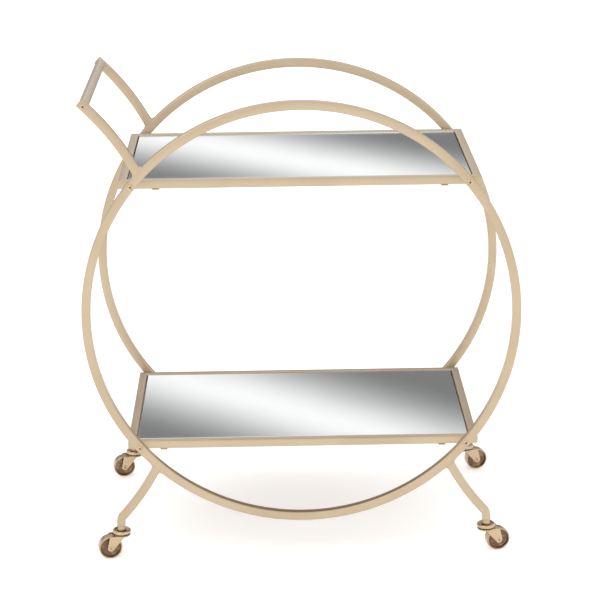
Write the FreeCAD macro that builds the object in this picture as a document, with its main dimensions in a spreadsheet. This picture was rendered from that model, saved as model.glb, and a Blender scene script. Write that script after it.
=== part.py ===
import FreeCAD, Part

import math
import operator
import os

import Sketcher

# A two-shelf bar cart: two upright hoops of square tube carry two mirrored shelves, a bowed
# handle on the left and four splayed legs, each with a swivel caster.
# Origin: on the floor, midway between the hoops. +X right, +Y back, +Z up. Millimetres, degrees.

SIZES = {
    # Frame
    "hoop_radius": 343.0,  # outside of each hoop
    "hoop_height": 402.0,  # centre of the hoops above the floor
    "cart_depth": 356.0,  # over the outer faces of the two hoops
    "tube_size": 13.0,
    "bent_tube_width": 14.0,  # across the face of the hoops' and arms' tube
    "tube_wall": 1.2,
    "tube_corner": 2.0,
    # Shelves
    "shelf_offset": 213.5,  # middle of each shelf's rails above or below the hoops' centre
    "shelf_overhang": 19.5,  # shelf's end beyond its screws
    "mirror_inset": 1.0,  # mirror's face below the top of its rails
    "mirror_thickness": 3.0,
    "mirror_bevel": 1.0,
    "pane_gap": 1.5,
    "strap_width": 11.0,
    "strap_thickness": 2.0,
    "strap_offset": 222.0,
    # Handle
    "arm_place": 43.0,  # angle round the hoop, from its left end up to the arm's root
    "arm_lean": 26.5,  # arm's lean from upright at its root
    "arm_radius": 407.0,
    "arm_reach": 137.0,  # along the arm, from the hoop's tube centre to the handle screw
    "arm_tip": 8.0,
    # Legs
    "leg_place": 46.5,  # angle round the hoop, from its side down to the leg's root
    "leg_lean": 26.2,
    "leg_radius": 394.0,
    "leg_bend": 11.0,
    "leg_straight": 9.0,
    "plug_length": 8.0,
    "plug_fit": 0.05,
    # Fasteners
    "screw_diameter": 5.0,
    "screw_length": 20.0,
    "screw_head_diameter": 9.5,
    "screw_head_height": 2.75,
    "screw_socket": 3.0,
    "screw_socket_depth": 1.6,
    "screw_clearance": 0.3,
    "thread_fit": 0.05,
    "nut_wall": 1.0,
    "nut_length": 9.5,
    "nut_clear": 0.1,  # nut's bulge clear of the rounded corners inside the tube
    "nut_bulge_length": 1.5,
    # Casters
    "wheel_diameter": 38.0,
    "wheel_width": 16.0,
    "rim_depth": 3.4,
    "web_width": 7.0,
    "hub_diameter": 11.0,
    "hub_width": 17.0,
    "tread_round": 1.5,
    "axle_diameter": 5.0,
    "axle_head_diameter": 8.0,
    "axle_head_height": 1.2,
    "running_fit": 0.05,
    "caster_trail": 19.5,
    "caster_turn": 12.0,  # how far each caster is turned about its stem
    "fork_roof": 2.5,
    "fork_disc_radius": 14.0,
    "cheek_thickness": 2.2,
    "cheek_end_radius": 5.5,
    "cheek_toe": 1.5,  # cheek's top corner beyond the axle
    "cheek_heel": 3.0,  # cheek's other corner behind the stem
    "cheek_gap": 0.8,
    "wheel_headroom": 1.0,  # fork's top above the wheel's top
    "wheel_clearance": 1.2,
    "race_gap": 2.4,
    "race_radius": 9.6,
    "race_clearance": 0.3,
    "ball_diameter": 3.0,
    "ball_count": 14.0,
    "cap_radius": 14.8,
    "cap_height": 5.4,
    "cap_rim_width": 4.2,
    "cap_dish": 2.2,
    "cap_round": 1.5,
    "stem_diameter": 8.0,
    "stem_head_diameter": 12.0,
    "stem_head_height": 1.6,
    "stem_play": 0.3,
    "collar_height": 8.4,
    "collar_diameter": 15.0,
    "collar_step": 0.5,  # in from the faces of the leg's foot
}

BACK_TO_BACK = {"front": -1, "back": 1}
SIDE_TO_SIDE = {"left": -1, "right": 1}
SHELVES = {"lower": -1, "upper": 1}
ORIGIN = (-1, 1)
ACROSS_AXIS = -1
UP_AXIS = -2


class Amount:
    """A size as a number, with the sheet formula that gives the same number."""

    def __init__(self, formula, number):
        self.formula = formula
        self.number = number

    def __add__(self, other):
        return joined(operator.add, "+", self, other)

    def __sub__(self, other):
        return joined(operator.sub, "-", self, other)

    def __mul__(self, other):
        return joined(operator.mul, "*", self, other)

    def __rmul__(self, other):
        return joined(operator.mul, "*", other, self)

    def __truediv__(self, other):
        return joined(operator.truediv, "/", self, other)

    def __neg__(self):
        return joined(operator.mul, "*", -1.0, self)


def amount(value):
    if isinstance(value, Amount):
        return value
    return Amount(f"({float(value)!r})", float(value))


def joined(action, sign, left, right):
    left = amount(left)
    right = amount(right)
    return Amount(f"({left.formula} {sign} {right.formula})", action(left.number, right.number))


def size(name):
    return Amount(f"Sizes.{name}", SIZES[name])


def root(value):
    return Amount(f"sqrt({value.formula})", math.sqrt(value.number))


def sine(angle):
    return Amount(f"sin({angle.formula})", math.sin(math.radians(angle.number)))


def cosine(angle):
    return Amount(f"cos({angle.formula})", math.cos(math.radians(angle.number)))


def angle_of_sine(value):
    return Amount(f"(asin({value.formula}) / 1 deg)", math.degrees(math.asin(value.number)))


ZERO = amount(0)

# Frame
TUBE = size("tube_size")
HALF_TUBE = TUBE / 2
BENT_WIDTH = size("bent_tube_width")
MID_RADIUS = size("hoop_radius") - BENT_WIDTH / 2
HOOP_Y = size("cart_depth") / 2 - HALF_TUBE
INSIDE_Y = size("cart_depth") / 2 - TUBE
SCREW_X = root(MID_RADIUS * MID_RADIUS - size("shelf_offset") * size("shelf_offset"))
SHELF_HALF_WIDTH = SCREW_X + size("shelf_overhang")
RAIL_Y = INSIDE_Y - HALF_TUBE
RAIL_X = SHELF_HALF_WIDTH - HALF_TUBE
PANE_HALF_WIDTH = SHELF_HALF_WIDTH - TUBE - size("pane_gap")
PANE_HALF_DEPTH = INSIDE_Y - TUBE - size("pane_gap")
BOARD_THICKNESS = TUBE - size("mirror_inset") - size("mirror_thickness")
# Handle: each arm is an arc whose centre lies down and to the left of its root
ARM_ROOT_X = MID_RADIUS * cosine(size("arm_place"))
ARM_ROOT_RISE = MID_RADIUS * sine(size("arm_place"))
ARM_CENTRE_X = -(ARM_ROOT_X + size("arm_radius") * cosine(size("arm_lean")))
ARM_CENTRE_Z = size("hoop_height") + ARM_ROOT_RISE - size("arm_radius") * sine(size("arm_lean"))
DEGREES = 180 / math.pi
ARM_TO_SCREW = size("arm_reach") / size("arm_radius") * DEGREES
ARM_SWEEP = ARM_TO_SCREW + size("arm_tip") / size("arm_radius") * DEGREES
ARM_CAP = size("tube_wall") / size("arm_radius") * DEGREES
HANDLE_TURN = size("arm_lean") + ARM_TO_SCREW
HANDLE_X = ARM_CENTRE_X + size("arm_radius") * cosine(HANDLE_TURN)
HANDLE_Z = ARM_CENTRE_Z + size("arm_radius") * sine(HANDLE_TURN)
# Casters, from the floor up
WHEEL_RADIUS = size("wheel_diameter") / 2
FORK_TOP = size("wheel_diameter") + size("wheel_headroom")
FORK_UNDERSIDE = FORK_TOP - size("fork_roof")
FORK_GAP_HALF = size("wheel_width") / 2 + size("cheek_gap")
FORK_HALF_WIDTH = FORK_GAP_HALF + size("cheek_thickness")
CAP_BOTTOM = FORK_TOP + size("race_gap")
DISH_FLOOR = CAP_BOTTOM + size("cap_height") - size("cap_dish")
LEG_FOOT = DISH_FLOOR + size("collar_height")
BALL_HEIGHT = FORK_TOP + size("race_gap") / 2
# Legs: a long arc, a tight bend the other way and a short upright foot
LEG_ROOT_X = MID_RADIUS * cosine(size("leg_place"))
LEG_ROOT_Z = size("hoop_height") - MID_RADIUS * sine(size("leg_place"))
LEG_ARC_X = LEG_ROOT_X + size("leg_radius") * cosine(size("leg_lean"))
LEG_ARC_Z = LEG_ROOT_Z + size("leg_radius") * sine(size("leg_lean"))
BEND_Z = LEG_FOOT + size("leg_straight")
LEG_STEEPEST = angle_of_sine((LEG_ARC_Z - BEND_Z) / (size("leg_radius") + size("leg_bend")))
BEND_X = LEG_ARC_X - (size("leg_radius") + size("leg_bend")) * cosine(LEG_STEEPEST)
FOOT_X = BEND_X + size("leg_bend")


def vector(x, y, z=0.0):
    return FreeCAD.Vector(x, y, z)


def write_sheet(document):
    sheet = document.addObject("Spreadsheet::Sheet", "Sizes")
    for row, (alias, value) in enumerate(SIZES.items(), start=1):
        sheet.set(f"A{row}", alias)
        sheet.set(f"B{row}", str(value))
        sheet.setAlias(f"B{row}", alias)
    document.recompute()


def bind(item, **places):
    """Bind each property, with __ for a dot, to an amount's formula."""
    for place, value in places.items():
        item.setExpression(place.replace("__", "."), amount(value).formula)


# Sketches


def new_sketch(body, plane, lift=None):
    """A sketch on one of the body's own planes, lifted along the plane's normal."""
    sketch = body.newObject("Sketcher::SketchObject", f"{body.Name}_sketch")
    origin_plane = [item for item in body.Origin.OriginFeatures if item.Role == plane][0]
    sketch.AttachmentSupport = [(origin_plane, "")]
    sketch.MapMode = "FlatFace"
    if lift is not None:
        bind(sketch, AttachmentOffset__Base__z=lift)
    return sketch


def dimension(sketch, kind, where, value):
    index = sketch.addConstraint(Sketcher.Constraint(kind, *where, value.number))
    sketch.renameConstraint(index, f"size_{index}")
    sketch.setExpression(f"Constraints.size_{index}", value.formula)


def pin(sketch, point, place):
    """Hold a point at its distances across and up from the sketch's origin."""
    for kind, axis, value in zip(("DistanceX", "DistanceY"), (UP_AXIS, ACROSS_AXIS), place):
        value = amount(value)
        if abs(value.number) < 1e-9:
            sketch.addConstraint(Sketcher.Constraint("PointOnObject", *point, axis))
        elif value.number > 0:
            dimension(sketch, kind, ORIGIN + point, value)
        else:
            dimension(sketch, kind, point + ORIGIN, -value)


def draw_polygon(sketch, corners):
    first = sketch.GeometryCount
    spots = [vector(amount(x).number, amount(y).number) for x, y in corners]
    for start, end in zip(spots, spots[1:] + spots[:1]):
        sketch.addGeometry(Part.LineSegment(start, end))
    for index, corner in enumerate(corners):
        following = first + (index + 1) % len(corners)
        sketch.addConstraint(Sketcher.Constraint("Coincident", first + index, 2, following, 1))
        pin(sketch, (first + index, 1), corner)


def draw_circle(sketch, centre, radius):
    x, y = (amount(value).number for value in centre)
    index = sketch.addGeometry(Part.Circle(vector(x, y), vector(0, 0, 1), radius.number))
    dimension(sketch, "Radius", (index,), radius)
    pin(sketch, (index, 3), centre)


def quarter(centre, radius, start):
    circle = Part.Circle(centre, vector(0, 0, 1), radius)
    return Part.ArcOfCircle(circle, math.radians(start), math.radians(start + 90))


def draw_rounded_box(sketch, centre, width, depth, corner):
    """Four sides joined by quarter circles, going round anticlockwise from the lowest side."""
    x, y = (amount(value) for value in centre)
    across_inset = width / 2 - corner
    up_inset = depth / 2 - corner
    signs = ((1, -1), (1, 1), (-1, 1), (-1, -1))
    first = sketch.GeometryCount
    for turn, (right, above) in enumerate(signs):
        across, up = across_inset * right, up_inset * above
        side = (up_inset if turn % 2 else across_inset) * 2
        middle = vector((x + across).number, (y + up).number)
        rotation = FreeCAD.Rotation(vector(0, 0, 1), 90 * turn)
        end = middle + rotation.multVec(vector(0, -corner.number))
        start = end - rotation.multVec(vector(side.number, 0))
        line = sketch.addGeometry(Part.LineSegment(start, end))
        arc = sketch.addGeometry(quarter(middle, corner.number, 90 * turn - 90))
        dimension(sketch, "Radius", (arc,), corner)
        pin(sketch, (arc, 3), (x + across, y + up))
        sketch.addConstraint(Sketcher.Constraint("Tangent", line, 2, arc, 1))
    for turn in range(4):
        arc = first + 2 * turn + 1
        following = first + (2 * turn + 2) % 8
        sketch.addConstraint(Sketcher.Constraint("Tangent", arc, 2, following, 1))


def draw_outside(sketch, centre=(ZERO, ZERO), width=TUBE):
    draw_rounded_box(sketch, centre, width, TUBE, size("tube_corner"))


def draw_bore(sketch, centre=(ZERO, ZERO), width=TUBE):
    walls = size("tube_wall") * 2
    inner_corner = size("tube_corner") - size("tube_wall")
    draw_rounded_box(sketch, centre, width - walls, TUBE - walls, inner_corner)


def draw_tube(sketch, centre=(ZERO, ZERO), width=TUBE):
    """A tube's section: its outside and its bore."""
    draw_outside(sketch, centre, width)
    draw_bore(sketch, centre, width)


# Features


def new_body(document, name, base=(ZERO, ZERO, ZERO), turn=None, axis=(0, 0, 1)):
    """A body whose frame stands at base, turned about an axis through it."""
    body = document.addObject("PartDesign::Body", name)
    body.Label = name
    if turn is not None:
        turn = amount(turn)
        spin = FreeCAD.Rotation(vector(*axis), turn.number)
        body.Placement = FreeCAD.Placement(vector(0, 0), spin)
        bind(body, Placement__Rotation__Angle=turn)
    bind(body, Placement__Base__x=base[0], Placement__Base__y=base[1], Placement__Base__z=base[2])
    return body


def new_feature(body, kind, sketch, **values):
    feature = body.newObject(f"PartDesign::{kind}", f"{body.Name}_{kind}")
    feature.Profile = sketch
    for name, value in values.items():
        if isinstance(value, Amount):
            bind(feature, **{name: value})
        else:
            setattr(feature, name, value)
    sketch.Visibility = False
    return feature


def pad_both_ways(body, sketch, length):
    return new_feature(body, "Pad", sketch, SideType="Symmetric", Length=length)


def cut_both_ways(body, sketch, length):
    return new_feature(body, "Pocket", sketch, SideType="Symmetric", Length=length)


def cut_through(body, sketch):
    return new_feature(body, "Pocket", sketch, SideType="Symmetric", Type="ThroughAll")


def spin(body, sketch, kind="Revolution", angle=360, backwards=False):
    axis = (sketch, ["V_Axis"])
    return new_feature(body, kind, sketch, ReferenceAxis=axis, Angle=angle, Reversed=backwards)


def on_circle(edge, radius, height, along):
    """Whether an edge is a circle about the given axis of the body, at a height on that axis."""
    curve = edge.Curve
    if not isinstance(curve, Part.Circle):
        return False
    spot = curve.Center
    return abs(curve.Radius - radius) < 1e-4 and abs(spot.dot(along) - height) < 1e-4


def soften(document, body, rings, radius, along):
    """Round the circular edges at the given radii and heights on the body's turning axis."""
    document.recompute()
    plain = body.Tip
    names = []
    for index, edge in enumerate(plain.Shape.Edges, start=1):
        for ring_radius, height in rings:
            if on_circle(edge, amount(ring_radius).number, amount(height).number, along):
                names.append(f"Edge{index}")
    if len(names) < len(rings):
        raise RuntimeError(f"{body.Name}: an edge to round wasn't found")
    fillet = body.newObject("PartDesign::Fillet", f"{body.Name}_round")
    fillet.Base = (plain, names)
    bind(fillet, Radius=radius)


# Frame


def make_hoop(document, end):
    body = new_body(document, f"{end}_hoop", (ZERO, HOOP_Y * BACK_TO_BACK[end], size("hoop_height")))
    section = new_sketch(body, "XY_Plane")
    draw_tube(section, (MID_RADIUS, ZERO), BENT_WIDTH)
    spin(body, section)
    holes = new_sketch(body, "XZ_Plane")
    radius = (size("screw_diameter") + size("screw_clearance")) / 2
    for across in (-1, 1):
        for up in (-1, 1):
            draw_circle(holes, (SCREW_X * across, size("shelf_offset") * up), radius)
    cut_through(body, holes)


def make_handle_arm(document, end):
    """An arc of tube with a closed tip, trimmed where its root meets the hoop."""
    base = (ARM_CENTRE_X, HOOP_Y * BACK_TO_BACK[end], ARM_CENTRE_Z)
    body = new_body(document, f"{end}_handle_arm", base, size("arm_lean"), (0, -1, 0))
    radius = size("arm_radius")
    outside = new_sketch(body, "XY_Plane")
    draw_outside(outside, (radius, ZERO), BENT_WIDTH)
    spin(body, outside, angle=ARM_SWEEP, backwards=True)
    bore = new_sketch(body, "XY_Plane")
    draw_bore(bore, (radius, ZERO), BENT_WIDTH)
    spin(body, bore, "Groove", ARM_SWEEP - ARM_CAP, backwards=True)
    trim = new_sketch(body, "XZ_Plane")
    root_turn = size("arm_place") + size("arm_lean")
    hoop_centre = (radius + MID_RADIUS * cosine(root_turn), -(MID_RADIUS * sine(root_turn)))
    draw_circle(trim, hoop_centre, size("hoop_radius"))
    cut_through(body, trim)
    hole = new_sketch(body, "XZ_Plane")
    screw = (radius * cosine(ARM_TO_SCREW), radius * sine(ARM_TO_SCREW))
    draw_circle(hole, screw, (size("screw_diameter") + size("screw_clearance")) / 2)
    cut_through(body, hole)


def make_handle_bar(document):
    body = new_body(document, "handle_bar", (HANDLE_X, ZERO, HANDLE_Z), HANDLE_TURN, (0, -1, 0))
    section = new_sketch(body, "XZ_Plane")
    draw_tube(section)
    pad_both_ways(body, section, INSIDE_Y * 2)


def draw_leg_line(sketch):
    """The middle line of a right-hand leg, from its foot up to the middle of the hoop's tube."""
    straight = Part.LineSegment(
        vector(FOOT_X.number, LEG_FOOT.number), vector(FOOT_X.number, BEND_Z.number)
    )
    bend_circle = Part.Circle(
        vector(BEND_X.number, BEND_Z.number),
        vector(0, 0, 1),
        size("leg_bend").number,
    )
    steepest = math.radians(LEG_STEEPEST.number)
    bend = Part.ArcOfCircle(bend_circle, 0, steepest)
    arc_circle = Part.Circle(
        vector(LEG_ARC_X.number, LEG_ARC_Z.number), vector(0, 0, 1), size("leg_radius").number
    )
    lean = math.radians(size("leg_lean").number)
    arc = Part.ArcOfCircle(arc_circle, math.pi + lean, math.pi + steepest)
    line_index, bend_index, arc_index = (sketch.addGeometry(item) for item in (straight, bend, arc))
    pin(sketch, (line_index, 1), (FOOT_X, LEG_FOOT))
    pin(sketch, (line_index, 2), (FOOT_X, BEND_Z))
    dimension(sketch, "Radius", (bend_index,), size("leg_bend"))
    sketch.addConstraint(Sketcher.Constraint("Tangent", line_index, 2, bend_index, 1))
    sketch.addConstraint(Sketcher.Constraint("Tangent", bend_index, 2, arc_index, 2))
    pin(sketch, (arc_index, 3), (LEG_ARC_X, LEG_ARC_Z))
    dimension(sketch, "DistanceX", ORIGIN + (arc_index, 1), LEG_ROOT_X)


def sweep(body, kind, line, draw):
    section = new_sketch(body, "XY_Plane", LEG_FOOT)
    draw(section)
    edges = ["Edge1", "Edge2", "Edge3"]
    new_feature(body, kind, section, Spine=(line, edges), Transition="Transformed")


def make_right_leg(document, end):
    body = new_body(document, f"{end}_right_leg", (ZERO, HOOP_Y * BACK_TO_BACK[end], ZERO))
    line = new_sketch(body, "XZ_Plane")
    draw_leg_line(line)
    centre = (FOOT_X, ZERO)
    sweep(
        body,
        "AdditivePipe",
        line,
        lambda section: draw_outside(section, centre),
    )
    sweep(body, "SubtractivePipe", line, lambda section: draw_bore(section, centre))
    trim = new_sketch(body, "XZ_Plane")
    draw_circle(trim, (ZERO, size("hoop_height")), size("hoop_radius"))
    cut_through(body, trim)
    return body


def make_left_leg(document, end, right_leg):
    leg = document.addObject("Part::Mirroring", f"{end}_left_leg")
    leg.Label = leg.Name
    leg.Source = right_leg
    leg.Normal = vector(1, 0, 0)


# Shelves


def shelf_middle(level):
    return size("hoop_height") + size("shelf_offset") * SHELVES[level]


def draw_mitre(sketch, half_length, side):
    """A corner's waste: everything past the 45 degree line from the inner to the outer edge."""
    inner = (half_length - TUBE) * side
    outer = half_length * side
    draw_polygon(sketch, [(outer, -HALF_TUBE), (outer, HALF_TUBE), (inner, HALF_TUBE)])


def make_rail(document, name, half_length, base, turn, screw_x=None):
    """A mitred tube along its own X whose inner side faces its own +Y."""
    body = new_body(document, name, base, turn)
    section = new_sketch(body, "YZ_Plane")
    draw_tube(section)
    pad_both_ways(body, section, half_length * 2)
    for side in (-1, 1):
        waste = new_sketch(body, "XY_Plane")
        draw_mitre(waste, half_length, side)
        cut_through(body, waste)
    if screw_x is not None:
        holes = new_sketch(body, "XZ_Plane")
        for side in (-1, 1):
            draw_circle(holes, (screw_x * side, ZERO), NUT_RADIUS + size("thread_fit"))
        new_feature(body, "Pocket", holes, Length=HALF_TUBE, Reversed=True)


def make_rails(document, level):
    middle = shelf_middle(level)
    make_rail(document, f"{level}_front_rail", SHELF_HALF_WIDTH, (ZERO, -RAIL_Y, middle), 0, SCREW_X)
    make_rail(document, f"{level}_right_rail", INSIDE_Y, (RAIL_X, ZERO, middle), 90)
    make_rail(document, f"{level}_back_rail", SHELF_HALF_WIDTH, (ZERO, RAIL_Y, middle), 180, SCREW_X)
    make_rail(document, f"{level}_left_rail", INSIDE_Y, (-RAIL_X, ZERO, middle), 270)


def make_slab(document, name, base, widths):
    """A plain slab centred on base in X and Y, standing on it in Z."""
    slab = document.addObject("Part::Box", name)
    slab.Label = name
    width, depth, thickness = widths
    bind(slab, Length=width, Width=depth, Height=thickness)
    bind(slab, Placement__Base__x=base[0] - width / 2, Placement__Base__y=base[1] - depth / 2)
    bind(slab, Placement__Base__z=base[2])


def make_mirror(document, level):
    """A plate with its upper edges bevelled all round."""
    board_top = shelf_middle(level) - HALF_TUBE + BOARD_THICKNESS
    body = new_body(document, f"{level}_mirror", (ZERO, ZERO, board_top))
    outline = new_sketch(body, "XY_Plane")
    draw_polygon(
        outline,
        [
            (PANE_HALF_WIDTH * across, PANE_HALF_DEPTH * up)
            for across, up in ((-1, -1), (1, -1), (1, 1), (-1, 1))
        ],
    )
    plate = new_feature(body, "Pad", outline, Length=size("mirror_thickness"))
    document.recompute()
    top = plate.Shape.BoundBox.ZMax
    edges = enumerate(plate.Shape.Edges, start=1)
    names = [f"Edge{index}" for index, edge in edges if edge.BoundBox.ZMin > top - 1e-6]
    bevel = body.newObject("PartDesign::Chamfer", f"{level}_mirror_bevel")
    bevel.Base = (plate, names)
    bind(bevel, Size=size("mirror_bevel"))


def make_shelf(document, level):
    make_rails(document, level)
    rail_bottom = shelf_middle(level) - HALF_TUBE
    strap = (size("strap_width"), INSIDE_Y * 2, size("strap_thickness"))
    for side, sign in SIDE_TO_SIDE.items():
        base = (size("strap_offset") * sign, ZERO, rail_bottom - size("strap_thickness"))
        make_slab(document, f"{level}_{side}_strap", base, strap)
    board = (PANE_HALF_WIDTH * 2, PANE_HALF_DEPTH * 2, BOARD_THICKNESS)
    make_slab(document, f"{level}_backing_board", (ZERO, ZERO, rail_bottom), board)
    make_mirror(document, level)


# Fasteners: each is drawn once in its own frame, pointing along +Z, then set in its places

SCREW_RADIUS = size("screw_diameter") / 2
NUT_BORE = SCREW_RADIUS + size("thread_fit")
NUT_RADIUS = NUT_BORE + size("nut_wall")
STEM_RADIUS = size("stem_diameter") / 2


def cylinder(radius, length, start=0.0):
    return Part.makeCylinder(radius, length, vector(0, 0, start))


def screw_shape():
    """A button head under the origin, with a hexagon socket, and a plain shank above it."""
    height = SIZES["screw_head_height"]
    head_radius = SIZES["screw_head_diameter"] / 2
    dome_radius = (head_radius**2 + height**2) / (2 * height)
    dome = Part.makeSphere(dome_radius, vector(0, 0, dome_radius - height))
    head = cylinder(head_radius, height, -height).common(dome)
    flat_to_corner = 1 / math.cos(math.radians(30))
    across = SIZES["screw_socket"] / 2 * flat_to_corner
    points = [
        vector(across * math.cos(math.radians(turn)), across * math.sin(math.radians(turn)), -height)
        for turn in range(0, 420, 60)
    ]
    socket = Part.Face(Part.makePolygon(points)).extrude(vector(0, 0, SIZES["screw_socket_depth"]))
    shank = cylinder(SCREW_RADIUS.number, SIZES["screw_length"])
    return head.cut(socket).fuse(shank).removeSplitter()


def rivet_nut_shape():
    """A bored sleeve whose bulge grips behind the tube's wall."""
    sleeve = cylinder(NUT_RADIUS.number, SIZES["nut_length"])
    bulge_radius = HALF_TUBE - size("tube_corner") - size("nut_clear")
    bulge = cylinder(bulge_radius.number, SIZES["nut_bulge_length"], SIZES["tube_wall"])
    return sleeve.fuse(bulge).cut(cylinder(NUT_BORE.number, SIZES["nut_length"])).removeSplitter()


def plug_shape(bore_radius):
    """A square block that fills the end of a tube, with a hole along it."""
    side = (TUBE - (size("tube_wall") + size("plug_fit")) * 2).number
    block = Part.makeBox(side, side, SIZES["plug_length"], vector(-side / 2, -side / 2, 0))
    corner = (size("tube_corner") - size("tube_wall")).number
    upright = [edge for edge in block.Edges if edge.BoundBox.ZLength > SIZES["plug_length"] / 2]
    return block.makeFillet(corner, upright).cut(cylinder(bore_radius, SIZES["plug_length"]))


def make_group(document, name, shape, placements):
    """Separate copies of one shape, kept together under one name."""
    group = document.addObject("Part::Feature", name)
    group.Label = name
    copies = []
    for placement in placements:
        copied = shape.copy()
        copied.Placement = placement
        copies.append(copied)
    group.Shape = Part.makeCompound(copies)


def facing_in(x, end, z, from_middle, lean=0.0):
    """A placement at a distance from the middle plane, pointing in towards it along Y."""
    sign = BACK_TO_BACK[end]
    towards = FreeCAD.Rotation(vector(1, 0, 0), 90 * sign)
    leaning = FreeCAD.Rotation(vector(0, -1, 0), lean)
    return FreeCAD.Placement(vector(x, sign * from_middle, z), leaning * towards)


def make_shelf_fasteners(document, level):
    middle = shelf_middle(level).number
    places = [(SCREW_X.number * sign, end) for sign in (-1, 1) for end in BACK_TO_BACK]
    outside = SIZES["cart_depth"] / 2
    screws = [facing_in(x, end, middle, outside) for x, end in places]
    nuts = [facing_in(x, end, middle, INSIDE_Y.number) for x, end in places]
    make_group(document, f"{level}_shelf_screws", screw_shape(), screws)
    make_group(document, f"{level}_rivet_nuts", rivet_nut_shape(), nuts)


def make_handle_fasteners(document):
    place = (HANDLE_X.number, HANDLE_Z.number)
    lean = HANDLE_TURN.number
    screws = [facing_in(place[0], end, place[1], SIZES["cart_depth"] / 2, lean) for end in BACK_TO_BACK]
    plugs = [facing_in(place[0], end, place[1], INSIDE_Y.number, lean) for end in BACK_TO_BACK]
    make_group(document, "handle_screws", screw_shape(), screws)
    make_group(document, "handle_end_plugs", plug_shape(NUT_BORE.number), plugs)


def unturned(x, y, z):
    return FreeCAD.Placement(vector(x, y, z), FreeCAD.Rotation())


def make_leg_plugs(document):
    places = [
        unturned(across * FOOT_X.number, deep * HOOP_Y.number, LEG_FOOT.number)
        for across in (-1, 1)
        for deep in (-1, 1)
    ]
    bore_radius = STEM_RADIUS + size("thread_fit")
    make_group(document, "leg_foot_plugs", plug_shape(bore_radius.number), places)


# Casters: each stands in its own frame, its stem on Z and its wheel trailing along +X


def caster_body(document, corner, piece):
    end, side = corner
    sign = SIDE_TO_SIDE[side]
    base = (FOOT_X * sign, HOOP_Y * BACK_TO_BACK[end], ZERO)
    half_turn = 0 if sign > 0 else 180
    return new_body(document, f"{end}_{side}_caster_{piece}", base, size("caster_turn") + half_turn)


def make_stem(document, corner):
    """The fixed king pin, with its riveted foot, its cone under the leg and its threaded end."""
    body = caster_body(document, corner, "stem")
    foot = size("stem_head_diameter") / 2
    foot_top = FORK_UNDERSIDE - size("stem_play")
    profile = new_sketch(body, "XZ_Plane")
    draw_polygon(
        profile,
        [
            (ZERO, foot_top - size("stem_head_height")),
            (foot, foot_top - size("stem_head_height")),
            (foot, foot_top),
            (STEM_RADIUS, foot_top),
            (STEM_RADIUS, DISH_FLOOR),
            (size("collar_diameter") / 2, DISH_FLOOR),
            (HALF_TUBE - size("collar_step"), LEG_FOOT),
            (STEM_RADIUS, LEG_FOOT),
            (STEM_RADIUS, LEG_FOOT + size("plug_length")),
            (ZERO, LEG_FOOT + size("plug_length")),
        ],
    )
    spin(body, profile)


def cut_race(body, clearance):
    race = new_sketch(body, "XZ_Plane")
    draw_circle(race, (size("race_radius"), BALL_HEIGHT), size("ball_diameter") / 2 + clearance)
    spin(body, race, "Groove")


def make_cap(document, corner):
    """The fixed upper race: a dished disc with a raised round rim."""
    body = caster_body(document, corner, "cap")
    bore = STEM_RADIUS + size("thread_fit")
    dish = size("cap_radius") - size("cap_rim_width")
    top = CAP_BOTTOM + size("cap_height")
    profile = new_sketch(body, "XZ_Plane")
    draw_polygon(
        profile,
        [
            (bore, CAP_BOTTOM),
            (size("cap_radius"), CAP_BOTTOM),
            (size("cap_radius"), top),
            (dish, top),
            (dish, DISH_FLOOR),
            (bore, DISH_FLOOR),
        ],
    )
    spin(body, profile)
    rims = [(size("cap_radius"), top), (dish, top)]
    soften(document, body, rims, size("cap_round"), vector(0, 0, 1))
    cut_race(body, size("race_clearance"))


def make_balls(document, corner):
    end, side = corner
    x = SIDE_TO_SIDE[side] * FOOT_X.number
    y = BACK_TO_BACK[end] * HOOP_Y.number
    radius = SIZES["race_radius"]
    count = round(SIZES["ball_count"])
    turns = [2 * math.pi * index / count for index in range(count)]
    places = [
        unturned(x + radius * math.cos(turn), y + radius * math.sin(turn), BALL_HEIGHT.number)
        for turn in turns
    ]
    ball = Part.makeSphere(SIZES["ball_diameter"] / 2)
    make_group(document, f"{end}_{side}_caster_balls", ball, places)


def draw_cheek(sketch):
    """The cheek's side view: a straight top, tapering to a round end about the axle."""
    axle = (size("caster_trail"), WHEEL_RADIUS)
    end_radius = size("cheek_end_radius")
    toe = (size("caster_trail") + size("cheek_toe"), FORK_TOP)
    heel = (-size("cheek_heel"), FORK_TOP)
    heel_low = (-size("cheek_heel"), FORK_UNDERSIDE)
    spots = [vector(x.number, y.number) for x, y in (heel_low, heel, toe)]
    centre = vector(axle[0].number, axle[1].number)
    radius = end_radius.number
    turns = [tangent_turn(spots[2], centre, radius, -1), tangent_turn(spots[0], centre, radius, 1)]
    touches = [centre + vector(math.cos(turn), math.sin(turn)) * radius for turn in turns]
    lines = [(spots[0], spots[1]), (spots[1], spots[2]), (spots[2], touches[0]), (touches[1], spots[0])]
    rear, top, front, under = (sketch.addGeometry(Part.LineSegment(*line)) for line in lines)
    circle = Part.Circle(centre, vector(0, 0, 1), radius)
    arc = sketch.addGeometry(Part.ArcOfCircle(circle, turns[1], turns[0]))
    for this, following in ((rear, top), (top, front), (under, rear)):
        sketch.addConstraint(Sketcher.Constraint("Coincident", this, 2, following, 1))
    for point, place in (((rear, 1), heel_low), ((top, 1), heel), ((front, 1), toe), ((arc, 3), axle)):
        pin(sketch, point, place)
    dimension(sketch, "Radius", (arc,), end_radius)
    sketch.addConstraint(Sketcher.Constraint("Tangent", front, 2, arc, 2))
    sketch.addConstraint(Sketcher.Constraint("Tangent", under, 1, arc, 1))


def tangent_turn(spot, centre, radius, side):
    """The angle round a circle at which the line from a spot touches it."""
    gap = spot - centre
    return math.atan2(gap.y, gap.x) + side * math.acos(radius / gap.Length)


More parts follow.
